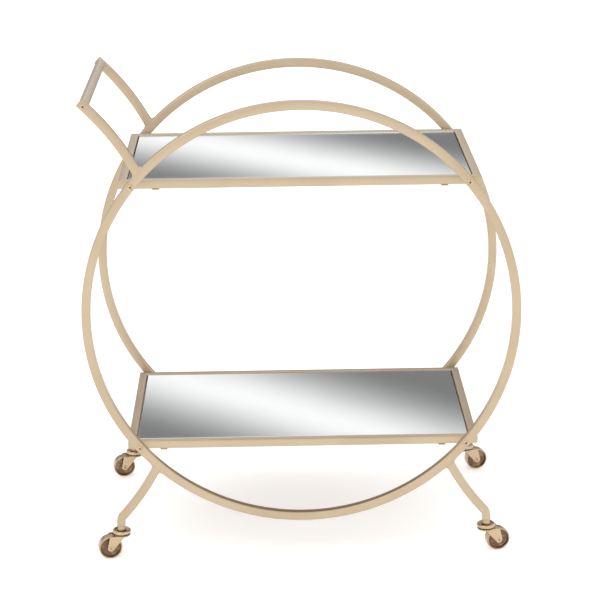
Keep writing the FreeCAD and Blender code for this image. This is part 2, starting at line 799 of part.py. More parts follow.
def make_fork(document, corner):
    body = caster_body(document, corner, "fork")
    roof = new_sketch(body, "XY_Plane", FORK_UNDERSIDE)
    draw_circle(roof, (ZERO, ZERO), size("fork_disc_radius"))
    new_feature(body, "Pad", roof, Length=size("fork_roof"))
    cheeks = new_sketch(body, "XZ_Plane")
    draw_cheek(cheeks)
    pad_both_ways(body, cheeks, FORK_HALF_WIDTH * 2)
    slot = new_sketch(body, "XZ_Plane")
    far = size("caster_trail") + WHEEL_RADIUS
    near = -size("fork_disc_radius") - size("cheek_heel")
    draw_polygon(slot, [(near, ZERO), (far, ZERO), (far, FORK_UNDERSIDE), (near, FORK_UNDERSIDE)])
    cut_both_ways(body, slot, FORK_GAP_HALF * 2)
    wheel_room = new_sketch(body, "XZ_Plane")
    axle = (size("caster_trail"), WHEEL_RADIUS)
    draw_circle(wheel_room, axle, WHEEL_RADIUS + size("wheel_clearance"))
    cut_both_ways(body, wheel_room, FORK_GAP_HALF * 2)
    axle_hole = new_sketch(body, "XZ_Plane")
    draw_circle(axle_hole, axle, size("axle_diameter") / 2 + size("running_fit"))
    cut_through(body, axle_hole)
    stem_hole = new_sketch(body, "XY_Plane")
    draw_circle(stem_hole, (ZERO, ZERO), STEM_RADIUS + size("running_fit"))
    cut_through(body, stem_hole)
    cut_race(body, ZERO)


def wheel_frame(document, corner, piece):
    """A body with its Y axis on the wheel's axle."""
    end, side = corner
    sign = SIDE_TO_SIDE[side]
    trail = size("caster_trail") * sign
    base = (
        FOOT_X * sign + trail * cosine(size("caster_turn")),
        HOOP_Y * BACK_TO_BACK[end] + trail * sine(size("caster_turn")),
        WHEEL_RADIUS,
    )
    half_turn = 0 if sign > 0 else 180
    return new_body(document, f"{end}_{side}_caster_{piece}", base, size("caster_turn") + half_turn)


def mirrored_profile(points):
    """The profile's upper points, then the same points below the middle, back to the start."""
    return [(radius, -height) for radius, height in points] + list(reversed(points))


def make_axle(document, corner):
    body = wheel_frame(document, corner, "axle")
    shank = size("axle_diameter") / 2
    head = size("axle_head_diameter") / 2
    top = FORK_HALF_WIDTH + size("axle_head_height")
    profile = new_sketch(body, "XY_Plane")
    half = [(ZERO, top), (head, top), (head, FORK_HALF_WIDTH), (shank, FORK_HALF_WIDTH)]
    draw_polygon(profile, mirrored_profile(half))
    spin(body, profile)
    rings = [(head, top), (head, -top)]
    soften(document, body, rings, size("axle_head_height") * 0.75, vector(0, 1, 0))


def make_wheel(document, corner):
    """A solid wheel: a hub, a thin web and a rim with a rounded tread."""
    body = wheel_frame(document, corner, "wheel")
    bore = size("axle_diameter") / 2 + size("running_fit")
    hub = size("hub_diameter") / 2
    rim = WHEEL_RADIUS - size("rim_depth")
    half_width = size("wheel_width") / 2
    half = [
        (bore, size("hub_width") / 2),
        (hub, size("hub_width") / 2),
        (hub, size("web_width") / 2),
        (rim, size("web_width") / 2),
        (rim, half_width),
        (WHEEL_RADIUS, half_width),
    ]
    profile = new_sketch(body, "XY_Plane")
    draw_polygon(profile, mirrored_profile(half))
    spin(body, profile)
    rings = [(WHEEL_RADIUS, half_width), (WHEEL_RADIUS, -half_width)]
    soften(document, body, rings, size("tread_round"), vector(0, 1, 0))


def make_caster(document, corner):
    for make in (make_stem, make_cap, make_balls, make_fork, make_axle, make_wheel):
        make(document, corner)


# Building and writing


def sub_parts(document):
    kinds = ("PartDesign::Body", "Part::Feature", "Part::Box", "Part::Mirroring")
    return [item for item in document.Objects if item.TypeId in kinds]


def check(document):
    for item in document.Objects:
        if "Invalid" in item.State or "Error" in item.State:
            raise RuntimeError(f"{item.Name} failed: {item.State}")
    for part in sub_parts(document):
        if part.Shape.isNull() or not part.Shape.isValid():
            raise RuntimeError(f"{part.Label} has no valid shape")


def write(document):
    os.makedirs("parts", exist_ok=True)
    for part in sub_parts(document):
        part.Shape.exportStep(f"parts/{part.Label}.step")
        print(f"{part.Label}: {part.Shape.Volume:.0f} cubic mm in {len(part.Shape.Solids)} solids")


def main():
    document = FreeCAD.newDocument("bar_cart")
    write_sheet(document)
    for end in BACK_TO_BACK:
        make_hoop(document, end)
        make_handle_arm(document, end)
        make_left_leg(document, end, make_right_leg(document, end))
    make_handle_bar(document)
    for level in SHELVES:
        make_shelf(document, level)
        make_shelf_fasteners(document, level)
    make_handle_fasteners(document)
    make_leg_plugs(document)
    for end in BACK_TO_BACK:
        for side in SIDE_TO_SIDE:
            make_caster(document, (end, side))
    document.recompute()
    check(document)
    write(document)


main()
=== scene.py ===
# %% [markdown]
# # A two-tier bar cart on casters
# The cart is two hoops of tube that carry two mirrored shelves, with a bowed handle on one
# side and a swivel caster under each of four bowed legs. The frame, its sizes and its joints come
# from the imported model. This lesson gives every visible piece its finished surface and its finish.

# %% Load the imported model
import math

import bmesh
import bpy
import numpy as np
from mathutils import Matrix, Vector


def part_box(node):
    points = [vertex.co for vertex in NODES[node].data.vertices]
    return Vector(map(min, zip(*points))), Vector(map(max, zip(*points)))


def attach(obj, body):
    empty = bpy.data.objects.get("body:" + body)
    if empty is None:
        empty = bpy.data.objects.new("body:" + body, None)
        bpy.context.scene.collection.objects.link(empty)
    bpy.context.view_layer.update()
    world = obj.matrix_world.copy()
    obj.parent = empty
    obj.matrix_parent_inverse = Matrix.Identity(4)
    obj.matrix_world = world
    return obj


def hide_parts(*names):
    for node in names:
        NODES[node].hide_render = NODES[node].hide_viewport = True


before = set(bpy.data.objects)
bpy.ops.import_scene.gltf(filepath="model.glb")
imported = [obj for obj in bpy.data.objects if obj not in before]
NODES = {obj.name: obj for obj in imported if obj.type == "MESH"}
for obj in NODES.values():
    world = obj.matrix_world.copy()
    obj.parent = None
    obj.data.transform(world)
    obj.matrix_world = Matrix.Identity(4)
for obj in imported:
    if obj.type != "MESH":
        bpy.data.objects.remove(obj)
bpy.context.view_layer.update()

MM = 0.001
X, Y, Z = np.eye(3)
ENDS = {"front": -1, "back": 1}
SIDES = {"left": -1, "right": 1}
LEVELS = {"lower": -1, "upper": 1}

# %% [markdown]
# ## Camera
# A long lens from about three metres keeps the two hoops nearly the same size, as they look in a
# catalogue. The camera is placed by three turns: round the upright, down towards the cart, and a
# very small roll. Multiplying the three rotations in that order keeps each one easy to read.

# %% Place the camera
CAMERA_PLACE = (-0.0478, -3.1247, 1.3631)
CAMERA_YAW = 0.88
CAMERA_PITCH = 17.55
CAMERA_ROLL = -0.65


def turn(degrees, axis):
    return Matrix.Rotation(math.radians(degrees), 4, axis)


camera = bpy.data.objects.new("camera", bpy.data.cameras.new("camera"))
bpy.context.scene.collection.objects.link(camera)
camera.data.sensor_width = 36.0
camera.data.lens = 119.4
aim = turn(-CAMERA_YAW, "Z") @ turn(90 - CAMERA_PITCH, "X") @ turn(CAMERA_ROLL, "Z")
camera.matrix_world = Matrix.Translation(CAMERA_PLACE) @ aim
bpy.context.scene.camera = camera
print("camera at", CAMERA_PLACE, "with a", round(camera.data.lens, 1), "mm lens")

# %% [markdown]
# ## Shader maths as plain expressions
# A node tree is hard to read when every sum is three calls. This small class wraps one output
# socket, so that `1 - mask * 0.3` adds the two Math nodes by itself. Any other node comes from the
# one `node` method of `Finish`, which sets the node's settings first and its inputs after.

# %% A socket that knows arithmetic


class Value:
    """One number that varies over a surface, wrapped so that + - * / and ** build Math nodes."""

    def __init__(self, finish, socket):
        self.finish = finish
        self.socket = socket

    def math(self, operation, *terms):
        return self.finish.node("ShaderNodeMath", {"operation": operation}, *terms)

    def __add__(self, other):
        return self.math("ADD", self, other)

    def __sub__(self, other):
        return self.math("SUBTRACT", self, other)

    def __rsub__(self, other):
        return self.math("SUBTRACT", other, self)

    def __mul__(self, other):
        return self.math("MULTIPLY", self, other)

    def __truediv__(self, other):
        return self.math("DIVIDE", self, other)

    def __pow__(self, other):
        return self.math("POWER", self, other)

    def size(self):
        return self.math("ABSOLUTE", self)

    def between(self, low, high):
        """0 below low, 1 above high, and a smooth S curve from one to the other."""
        settings = {"interpolation_type": "SMOOTHSTEP"}
        return self.finish.node("ShaderNodeMapRange", settings, self, low, high)

    __radd__ = __add__
    __rmul__ = __mul__


class Finish:
    """A material and the nodes in it."""

    def __init__(self, name):
        self.material = bpy.data.materials.new(name)
        self.material.use_nodes = True
        self.tree = self.material.node_tree
        self.tree.nodes.clear()
        self.output = self.tree.nodes.new("ShaderNodeOutputMaterial")

    def node(self, kind, settings=None, *inputs, out=0, **named):
        """Add a node: first its settings, then its inputs by order or by name."""
        made = self.tree.nodes.new(kind)
        for name, value in (settings or {}).items():
            setattr(made, name, value)
        sockets = list(zip(made.inputs, inputs))
        sockets += [(made.inputs[name.replace("_", " ")], value) for name, value in named.items()]
        for socket, value in sockets:
            if isinstance(value, Value):
                self.tree.links.new(value.socket, socket)
            else:
                socket.default_value = value
        return Value(self, made.outputs[out])

    def place(self):
        return self.node("ShaderNodeTexCoord", out=3)

    def noise(self, scale, detail=2.0, where=None):
        where = where or self.place()
        return self.node("ShaderNodeTexNoise", None, Vector=where, Scale=scale, Detail=detail)

    def blend(self, mask, first, second):
        """A colour that goes from first to second as the mask goes from 0 to 1."""
        mix = self.tree.nodes.new("ShaderNodeMix")
        mix.data_type = "RGBA"
        self.tree.links.new(mask.socket, mix.inputs[0])
        for socket, colour in ((mix.inputs[6], first), (mix.inputs[7], second)):
            if isinstance(colour, Value):
                self.tree.links.new(colour.socket, socket)
            else:
                socket.default_value = (*colour, 1.0)
        return Value(self, mix.outputs[2])

    def bump(self, height, distance, strength=1.0):
        return self.node("ShaderNodeBump", None, Height=height, Distance=distance, Strength=strength)

    def surface(self, **sockets):
        shader = self.node("ShaderNodeBsdfPrincipled", None, **sockets)
        self.tree.links.new(shader.socket, self.output.inputs[0])
        return self.material


print("shader helpers ready")

# %% [markdown]
# ## Champagne enamel
# The tubes are sprayed with a warm, slightly metallic enamel. Up close such a coat has fine flake,
# a faint orange-peel ripple, and small drifts of tone where the spray was thicker. The flake and
# the drift change the colour a little, and the ripple goes to the bump.

# %% The frame's enamel
ENAMEL_LIGHT = (0.548, 0.437, 0.301)
ENAMEL_DEEP = (0.484, 0.376, 0.245)


def make_enamel():
    finish = Finish("champagne_enamel")
    drift = finish.noise(9.0, 3.0)
    flake = finish.noise(2600.0, 1.0)
    peel = finish.noise(420.0, 2.0)
    tone = drift.between(0.32, 0.68) * 0.65 + flake.between(0.35, 0.65) * 0.35
    return finish.surface(
        Base_Color=finish.blend(tone, ENAMEL_DEEP, ENAMEL_LIGHT),
        Metallic=0.75,
        Roughness=0.30 + flake * 0.08 + drift * 0.06,
        Coat_Weight=0.25,
        Coat_Roughness=0.2,
        Normal=finish.bump(peel + flake * 0.4, 0.00005),
    )


enamel = make_enamel()
print("enamel:", len(enamel.node_tree.nodes), "nodes")

# %% [markdown]
# ## Antique brass
# The casters are die-cast and stamped metal under a brown-gold lacquer. Each caster piece carries a
# number on its points for painted shade: 0 where it stands proud and lit, up to 1 in its hollows,
# under the cap, on the tread and low on the stem. Random wear lightens it in places and real stains
# darken it.

# %% The casters' brass and the screws' brass
BRASS_BRIGHT = (0.56, 0.425, 0.27)
# the colour of the painted shade and of real stains
BRASS_SHADE_AND_STAIN = (0.150, 0.088, 0.045)


def make_brass(name, polish):
    finish = Finish(name)
    # the per-point painted shade
    recess = finish.node("ShaderNodeAttribute", {"attribute_name": "recess"}, out=2)
    stain = finish.noise(160.0, 4.0)
    grain = finish.noise(1500.0, 2.0)
    wear = finish.noise(85.0, 1.0).between(0.38, 0.62)
    # painted shade from the per-point number, lightened by random wear, plus real stains
    shade_and_stain = (recess * (0.97 - wear * 0.36) + stain.between(0.40, 0.75) * 0.16).between(0.02, 0.98)
    return finish.surface(
        Base_Color=finish.blend(shade_and_stain, BRASS_BRIGHT, BRASS_SHADE_AND_STAIN),
        Metallic=0.92,
        Roughness=polish + shade_and_stain * 0.04 + grain * 0.08,
        Coat_Weight=0.35,
        Coat_Roughness=0.12,
        Normal=finish.bump(grain + stain, 0.00004),
    )


caster_brass = make_brass("antique_brass", 0.22)
screw_brass = make_brass("screw_brass", 0.30)
print("brass finishes:", caster_brass.name, screw_brass.name)

# %% [markdown]
# ## Mirror glass
# Silvered glass reflects nearly everything. What makes it read as glass and not as polished steel
# is a green-grey tint in its ground edge and the faint film that wiping leaves, which only shows
# as a slow change in roughness.

# %% The shelves' mirror
SILVER = (0.93, 0.94, 0.94)
SILVER_FILM = (0.90, 0.915, 0.91)


def make_mirror_glass():
    finish = Finish("mirror_glass")
    film = finish.noise(14.0, 3.0)
    streak = finish.noise(60.0, 2.0)
    haze = film.between(0.4, 0.8)
    return finish.surface(
        Base_Color=finish.blend(haze, SILVER, SILVER_FILM),
        Metallic=1.0,
        Roughness=0.018 + haze * 0.006 + streak * 0.003,
    )


mirror_glass = make_mirror_glass()
print("mirror:", mirror_glass.name)

# %% [markdown]
# ## Plain hidden finishes
# Zinc-plated steel and fibreboard hardly show, but a look under the cart finds them. The board is
# pressed fibre: a fine speckle with a few longer fibres.

# %% Steel and fibreboard


def make_steel():
    finish = Finish("zinc_steel")
    spangle = finish.noise(300.0, 3.0)
    return finish.surface(
        Base_Color=finish.blend(spangle, (0.50, 0.50, 0.48), (0.68, 0.68, 0.66)),
        Metallic=1.0,
        Roughness=0.28 + spangle * 0.15,
        Normal=finish.bump(spangle, 0.00003),
    )


def make_fibreboard():
    finish = Finish("fibreboard")
    along = finish.node("ShaderNodeMapping", None, Vector=finish.place(), Scale=(0.25, 1.0, 1.0))
    fibres = finish.noise(700.0, 4.0, along)
    patches = finish.noise(20.0, 3.0)
    tone = fibres.between(0.3, 0.7) * 0.7 + patches * 0.3
    return finish.surface(
        Base_Color=finish.blend(tone, (0.115, 0.070, 0.040), (0.235, 0.155, 0.095)),
        Roughness=0.72 + fibres * 0.2,
        Normal=finish.bump(fibres, 0.0001),
    )


zinc_steel = make_steel()
fibreboard = make_fibreboard()
print("hidden finishes:", zinc_steel.name, fibreboard.name)

# %% [markdown]
# ## Surfaces from grids
# Every new piece is a grid of points with two parameters: one runs round the piece and the other
# along it. A grid closes on itself round, and its two ends are closed with one flat face each, so
# the result is a sealed shell. Several shells make one piece.

# %% From a grid of points to a mesh


def shell_faces(rows, columns, ring, start):
    """Quads between neighbouring rows of a grid whose columns wrap round, for a sealed shell.
    With ring true the last row joins the first, and otherwise a flat face closes each end.
    The point in row r and column c has the number start + r * columns + c."""
    index = start + np.arange(rows * columns).reshape(rows, columns)
    lower = index if ring else index[:-1]
    upper = np.roll(index, -1, axis=0) if ring else index[1:]
    quads = np.stack([lower, np.roll(lower, -1, 1), np.roll(upper, -1, 1), upper], axis=-1)
    faces = quads.reshape(-1, 4).tolist()
    if not ring:
        faces.append(index[0, ::-1].tolist())
        faces.append(index[-1].tolist())
    return faces


def make_piece(name, shells, material, body, replaces=(), recess=None):
    """Join sealed shells, each (grid, ring), into one object that rides on a body."""
    points = []
    faces = []
    start = 0
    for grid, ring in shells:
        rows, columns = grid.shape[:2]
        points.append(grid.reshape(-1, 3))
        faces += shell_faces(rows, columns, ring, start)
        start += rows * columns
    mesh = bpy.data.meshes.new(name)
    mesh.from_pydata(np.concatenate(points).tolist(), [], faces)
    # per-point painted shade for the brass finish
    if recess is not None:
        layer = mesh.attributes.new("recess", "FLOAT", "POINT")
        layer.data.foreach_set("value", np.concatenate(recess).astype(np.float32))
    mesh.materials.append(material)
    mesh.update()
    piece = bpy.data.objects.new(name, mesh)
    bpy.context.scene.collection.objects.link(piece)
    point_outwards(mesh)
    mesh.shade_smooth()
    mesh.set_sharp_from_angle(angle=math.radians(40))
    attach(piece, body)
    if replaces:
        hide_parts(*replaces)
    return piece


def point_outwards(mesh):
    """Recalculate the normals so that every sealed shell faces out."""
    work = bmesh.new()
    work.from_mesh(mesh)
    bmesh.ops.recalc_face_normals(work, faces=work.faces)
    work.to_mesh(mesh)
    work.free()


print("grid helpers ready")

# %% [markdown]
# ## Square tube along a line
# The rails, bar and legs are 13 mm square tube with rounded corners, and the hoops and arms are a
# millimetre wider across their face. A bent tube lies in an upright plane, so its section needs
# only two directions: across the bend in that plane, and straight out of it. Carrying the
# section's outline along the line gives the surface.

# %% The tube's section and how it is carried
TUBE = 13.0 * MM
HALF_TUBE = TUBE / 2
BENT_HALF_WIDTH = 7.0 * MM
TUBE_CORNER = 2.0 * MM
CORNER_STEPS = 5


def rounded_box(half_across, half_out, corner, steps=CORNER_STEPS):
    """Points round a rectangle with rounded corners, as (across, out) pairs.
    Each corner is a quarter circle about a point set in from both sides by the corner's radius."""
    quarter = np.linspace(0.0, math.pi / 2, steps)
    turns = np.arange(4)[:, None] * math.pi / 2
    angle = quarter[None, :] + turns
    signs = np.array([[1, 1], [-1, 1], [-1, -1], [1, -1]])[:, None, :]
    centre = signs * np.array([half_across - corner, half_out - corner])
    rim = corner * np.stack([np.cos(angle), np.sin(angle)], axis=-1)
    return (centre + rim).reshape(-1, 2)


SECTION = rounded_box(HALF_TUBE, HALF_TUBE, TUBE_CORNER)
BENT_SECTION = rounded_box(BENT_HALF_WIDTH, HALF_TUBE, TUBE_CORNER)


def carry(line, across, section=SECTION):
    """Place the section at each point of a line: point + across * a + y * b."""
    a = section[None, :, 0, None]
    b = section[None, :, 1, None]
    return line[:, None, :] + across[:, None, :] * a + Y * b


def arc_points(centre, radius, start, end, steps, y):
    """Points on an upright circle and the outward direction at each, angles in radians."""
    angle = np.linspace(start, end, steps)
    outward = np.stack([np.cos(angle), np.zeros(steps), np.sin(angle)], axis=-1)
    middle = np.array([centre[0], y, centre[1]])
    return middle + radius * outward, outward


print("tube section has", len(SECTION), "points")

# %% [markdown]
# ## The hoops
# Each hoop is one length of tube rolled into a circle and welded to itself. Its size and place
# come from the box of the CAD node. Enough steps round it keep the outline smooth at any distance.

# %% Roll the hoops
HOOP_STEPS = 256


def node_middle(node):
    """The middle of a CAD node's box, and the box's size."""
    low, high = (np.array(corner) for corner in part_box(node))
    return (low + high) / 2, (high - low)


HOOP_MIDDLE, HOOP_SIZE = node_middle("front_hoop")
HOOP_RADIUS = HOOP_SIZE[0] / 2
MID_RADIUS = HOOP_RADIUS - BENT_HALF_WIDTH
HOOP_CENTRE = np.array([HOOP_MIDDLE[0], HOOP_MIDDLE[2]])
HOOP_Y = abs(HOOP_MIDDLE[1])


def make_hoop(node):
    middle, _ = node_middle(node)
    last = 2 * math.pi * (1 - 1 / HOOP_STEPS)
    line, outward = arc_points(HOOP_CENTRE, MID_RADIUS, 0.0, last, HOOP_STEPS, middle[1])
    shells = [(carry(line, outward, BENT_SECTION), True)]
    return make_piece(f"{node}_tube", shells, enamel, "cart", [node])


for hoop in ("front_hoop", "back_hoop"):
    made = make_hoop(hoop)
    print(made.name, "faces:", len(made.data.polygons))

# %% [markdown]
# ## The handle's arms and the legs
# These tubes are bent in a press, so each is one or two arcs. Where a tube meets a hoop its end is
# notched to the hoop's round back. A point of the section is slid along the tube's direction until
# it lies on the hoop's outer circle, which is where a line crosses a circle: a square root.

# %% Bow the arms
ARM_PLACE = math.radians(43.0)
ARM_LEAN = math.radians(26.5)
ARM_RADIUS = 407.0 * MM
ARM_REACH = 137.0 * MM
ARM_TIP = 8.0 * MM
TIP_ROUND = 0.8 * MM
NOTCH_LAP = 0.1 * MM


def heading(angle):
    """The unit (x, z) direction at an angle from the x axis."""
    return np.array([math.cos(angle), math.sin(angle)])


ARM_ROOT = HOOP_CENTRE + MID_RADIUS * heading(math.pi - ARM_PLACE)
ARM_CENTRE = ARM_ROOT - ARM_RADIUS * heading(ARM_LEAN)
HANDLE_TURN = ARM_LEAN + ARM_REACH / ARM_RADIUS
HANDLE_PLACE = ARM_CENTRE + ARM_RADIUS * heading(HANDLE_TURN)


def from_hoop(points):
    """How far points stand from the hoop's centre, in its upright plane."""
    return (points - np.array([HOOP_CENTRE[0], 0.0, HOOP_CENTRE[1]])) * (X + Z)


def notch(grid):
    """Slide the first row's points along the tube until they lie on the hoop's outer circle.
    With p a point from the hoop's centre and d the tube's direction, p + t d has length R when
    t = -p.d + sqrt((p.d)^2 - p.p + R^2)."""
    direction = grid[1].mean(axis=0) - grid[0].mean(axis=0)
    direction /= np.linalg.norm(direction)
    offset = from_hoop(grid[0])
    along = offset @ direction
    reach = (HOOP_RADIUS - NOTCH_LAP) ** 2 - (offset**2).sum(axis=1)
    grid[0] += (np.sqrt(along**2 + reach) - along)[:, None] * direction
    return grid


def notch_root(grid):
    """Drop the rows that lie inside the hoop, then notch the first row that is left."""
    distance = np.linalg.norm(from_hoop(grid.mean(axis=1)), axis=1)
    first = int(np.argmax(distance > HOOP_RADIUS + HALF_TUBE / 2))
    return notch(grid[first - 1 :].copy())


def soften_end(grid, radius=TIP_ROUND):
    """Add rows that draw the last section in by a quarter circle, so the cap's edge is round."""
    last = grid[-1]
    middle = last.mean(axis=0)
    direction = middle - grid[-2].mean(axis=0)
    direction /= np.linalg.norm(direction)
    angle = np.linspace(0.0, math.pi / 2, 4)
    inward = (middle - last) / np.linalg.norm(middle - last, axis=1)[:, None]
    rows = [
        last + direction * radius * (math.sin(a) - 1) + inward * radius * (1 - math.cos(a))
        for a in angle
    ]
    return np.concatenate([grid[:-1], np.stack(rows)])


def make_arm(end, sign_y):
    sweep = HANDLE_TURN + ARM_TIP / ARM_RADIUS
    line, outward = arc_points(ARM_CENTRE, ARM_RADIUS, ARM_LEAN, sweep, 40, sign_y * HOOP_Y)
    grid = soften_end(notch_root(carry(line, outward, BENT_SECTION)))
    node = f"{end}_handle_arm"
    return make_piece(f"{node}_tube", [(grid, False)], enamel, "cart", [node])


for end, sign_y in ENDS.items():
    made = make_arm(end, sign_y)
    print(made.name, "faces:", len(made.data.polygons))

# %% [markdown]
# A leg is the long shallow arc, a tight bend back the other way, and a short upright foot. The
# three stretches share their directions where they meet, so the tube runs on without a kink.

# %% Bow the legs
LEG_PLACE = math.radians(46.5)
LEG_LEAN = math.radians(26.2)
LEG_RADIUS = 394.0 * MM
LEG_BEND = 11.0 * MM
LEG_STRAIGHT = 9.0 * MM
LEG_FOOT_ROUND = 0.5 * MM
LEG_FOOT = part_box("front_right_leg")[0][2]
LEG_ROOT = HOOP_CENTRE + MID_RADIUS * heading(-LEG_PLACE)
LEG_CENTRE = LEG_ROOT + LEG_RADIUS * heading(LEG_LEAN)


def leg_line():
    """The right leg's middle line from the hoop down, with the outward direction at each point."""
    bend_height = LEG_FOOT + LEG_STRAIGHT
    steepest = math.asin((LEG_CENTRE[1] - bend_height) / (LEG_RADIUS + LEG_BEND))
    long_arc = np.linspace(math.pi + LEG_LEAN, math.pi + steepest, 28)
    inward = -np.stack([np.cos(long_arc), np.sin(long_arc)], axis=-1)
    bow = LEG_CENTRE - LEG_RADIUS * inward
    foot_x = LEG_CENTRE[0] - (LEG_RADIUS + LEG_BEND) * math.cos(steepest) + LEG_BEND
    bend = np.linspace(steepest, 0.0, 12)[1:]
    outward = np.stack([np.cos(bend), np.sin(bend)], axis=-1)
    elbow = np.array([foot_x - LEG_BEND, bend_height]) + LEG_BEND * outward
    foot = np.array([[foot_x, LEG_FOOT + LEG_STRAIGHT / 2], [foot_x, LEG_FOOT]])
    sides = np.array([[1.0, 0.0], [1.0, 0.0]])
    return np.concatenate([bow, elbow, foot]), np.concatenate([inward, outward, sides]), foot_x


def in_plane(pairs, y):
    """Turn (x, z) pairs into points at depth y."""
    return np.stack([pairs[:, 0], np.full(len(pairs), y), pairs[:, 1]], axis=-1)


LEG_LINE, LEG_ACROSS, FOOT_X = leg_line()


def make_leg(end, side_name, sign_x, sign_y):
    grid = carry(in_plane(LEG_LINE, sign_y * HOOP_Y), in_plane(LEG_ACROSS, 0.0))
    grid = soften_end(notch_root(grid), LEG_FOOT_ROUND) * np.array([sign_x, 1.0, 1.0])
    node = f"{end}_{side_name}_leg"
    return make_piece(f"{node}_tube", [(grid, False)], enamel, "cart", [node])


for end, sign_y in ENDS.items():
    for side, sign_x in SIDES.items():
        made = make_leg(end, side, sign_x, sign_y)
        print(made.name, "faces:", len(made.data.polygons))
print("foot stands at x =", round(FOOT_X, 4))

# %% [markdown]
# ## Weld fillets
# Where an arm or a leg meets its hoop, the weld is dressed to a smooth hollow on both sides before
# the enamel goes on. Seen from the front, a fillet is a small three-sided shape: the corner where
# the two tubes meet, and a curve that leaves one tube and joins the other. It is as deep as the
# tube, a little less so that its side stays behind the tube's face. A thin strip across the joint
# fills the groove that the hoop's rounded edge would leave.

# %% Fill the corners
FILLET_REACH = 6.0 * MM
FILLET_HALF_DEPTH = HALF_TUBE - 0.7 * MM
FILLET_ROOT = 0.12
SEAM_HALF_DEPTH = HALF_TUBE - 0.05 * MM
SEAM_INSET = 2.2 * MM
SEAM_FROM = -2.6 * MM
SEAM_TO = 1.2 * MM


def circles_cross(first, first_radius, second, second_radius, near):
    """The crossing of two circles that is nearer a given point.
    On the line of centres it stands at a = (d^2 + r^2 - s^2) / 2d, and h = sqrt(r^2 - a^2) off it."""
    gap = second - first
    distance = np.linalg.norm(gap)
    along = gap / distance
    reach = (distance**2 + first_radius**2 - second_radius**2) / (2 * distance)
    rise = math.sqrt(first_radius**2 - reach**2)
    off = np.array([-along[1], along[0]]) * rise
    both = [first + along * reach + off, first + along * reach - off]
    return min(both, key=lambda spot: np.linalg.norm(spot - near))


def away(corner, centre, hint):
    """Unit direction along a circle at a corner, on the side that the hint points to."""
    radius = (corner - centre) / np.linalg.norm(corner - centre)
    along = np.array([-radius[1], radius[0]])
    return along if along @ hint > 0 else -along


def fillet(root, tube_centre, tube_radius):
    """Outline of one weld fillet: the corner, and a Bezier curve hollowed towards it."""
    corner = circles_cross(HOOP_CENTRE, HOOP_RADIUS, tube_centre, tube_radius, root)
    on_hoop = corner + away(corner, HOOP_CENTRE, corner - root) * FILLET_REACH
    on_tube = corner + away(corner, tube_centre, root - HOOP_CENTRE) * FILLET_REACH
    sunk = corner - (on_hoop + on_tube - 2 * corner) * FILLET_ROOT
    t = np.linspace(0.0, 1.0, 9)[:, None]
    curve = (1 - t) ** 2 * on_hoop + 2 * t * (1 - t) * corner + t**2 * on_tube
    return np.concatenate([curve, sunk[None]])


def weld_shell(outline, sign_x, y, half_depth):
    """The outline drawn through the tube's depth, mirrored to the other side when sign_x is -1."""
    deep = np.array([-half_depth, -half_depth + 0.4 * MM, half_depth])
    flat = in_plane(outline, y) * np.array([sign_x, 1.0, 1.0])
    return flat[None] + deep[:, None, None] * Y, False


def seam_strip(root, tube_centre, tube_radius, half_width):
    """Outline of the strip across the joint, between two arcs about the hoop's centre.
    A point p on the line between the tube's sides goes to c + r (p - c) / |p - c| for each arc."""
    near, far = (
        circles_cross(HOOP_CENTRE, HOOP_RADIUS, tube_centre, tube_radius + off, root)
        for off in (-half_width, half_width)
    )
    ray = near + (far - near) * np.linspace(0.0, 1.0, 7)[:, None] - HOOP_CENTRE
    ray /= np.linalg.norm(ray, axis=1)[:, None]
    inner = HOOP_CENTRE + ray * (HOOP_RADIUS + SEAM_FROM)
    outer = HOOP_CENTRE + ray * (HOOP_RADIUS + SEAM_TO)
    return np.concatenate([inner, outer[::-1]])


def make_welds(name, root, centre, radius, half_width, signs_x):
    outlines = [(seam_strip(root, centre, radius, half_width - SEAM_INSET), SEAM_HALF_DEPTH)]
    for off in (-half_width, half_width):
        outlines.append((fillet(root, centre, radius + off), FILLET_HALF_DEPTH))
    shells = [
        weld_shell(outline, sign_x, sign_y * HOOP_Y, half_depth)
        for outline, half_depth in outlines
        for sign_x in signs_x
        for sign_y in ENDS.values()
    ]
    return make_piece(name, shells, enamel, "cart")


leg_weld = ("leg_weld_fillets", LEG_ROOT, LEG_CENTRE, LEG_RADIUS, HALF_TUBE, (1, -1))
arm_weld = ("arm_weld_fillets", ARM_ROOT, ARM_CENTRE, ARM_RADIUS, BENT_HALF_WIDTH, (1,))
for weld in (leg_weld, arm_weld):
    print(make_welds(*weld).name)

# %% [markdown]
# ## The handle bar and the shelf rails
# Straight tubes carry the section along one direction. The rails' ends are mitred: at each end a
# point's distance along the rail falls by as much as the point lies towards the inside of the
# frame, so the end face leans at 45 degrees and two rails close into a corner.

# %% Cut the straight tubes


def straight(centre, along, inner, up, half_length, mitre):
    """Points of a straight tube: centre + along * s + inner * a + up * b, where s runs to plus or
    minus (half_length - mitre * (a + half the tube))."""
    a = SECTION[:, 0]
    b = SECTION[:, 1]
    reach = half_length - mitre * (a + HALF_TUBE)
    rows = [sign * reach[:, None] * along for sign in (-1, 1)]
    body = centre + a[:, None] * inner + b[:, None] * up
    return np.stack([body + row for row in rows])


def make_handle_bar():
    lean = np.array([math.cos(HANDLE_TURN), 0.0, math.sin(HANDLE_TURN)])
    rise = np.array([-math.sin(HANDLE_TURN), 0.0, math.cos(HANDLE_TURN)])
    half = node_middle("handle_bar")[1][1] / 2
    centre = np.array([HANDLE_PLACE[0], 0.0, HANDLE_PLACE[1]])
    shells = [(straight(centre, Y, lean, rise, half, 0.0), False)]
    return make_piece("handle_bar_tube", shells, enamel, "cart", ["handle_bar"])


def make_rail(node, inner):
    middle, extent = node_middle(node)
    along = np.cross(inner, Z)
    grid = straight(middle, along, inner, Z, abs(extent @ along) / 2, 1.0)
    return make_piece(f"{node}_tube", [(grid, False)], enamel, "cart", [node])


INWARD = {"front": Y, "back": -Y, "left": X, "right": -X}
print(make_handle_bar().name)
for level in LEVELS:
    for side, inner in INWARD.items():
        print(make_rail(f"{level}_{side}_rail", inner).name)

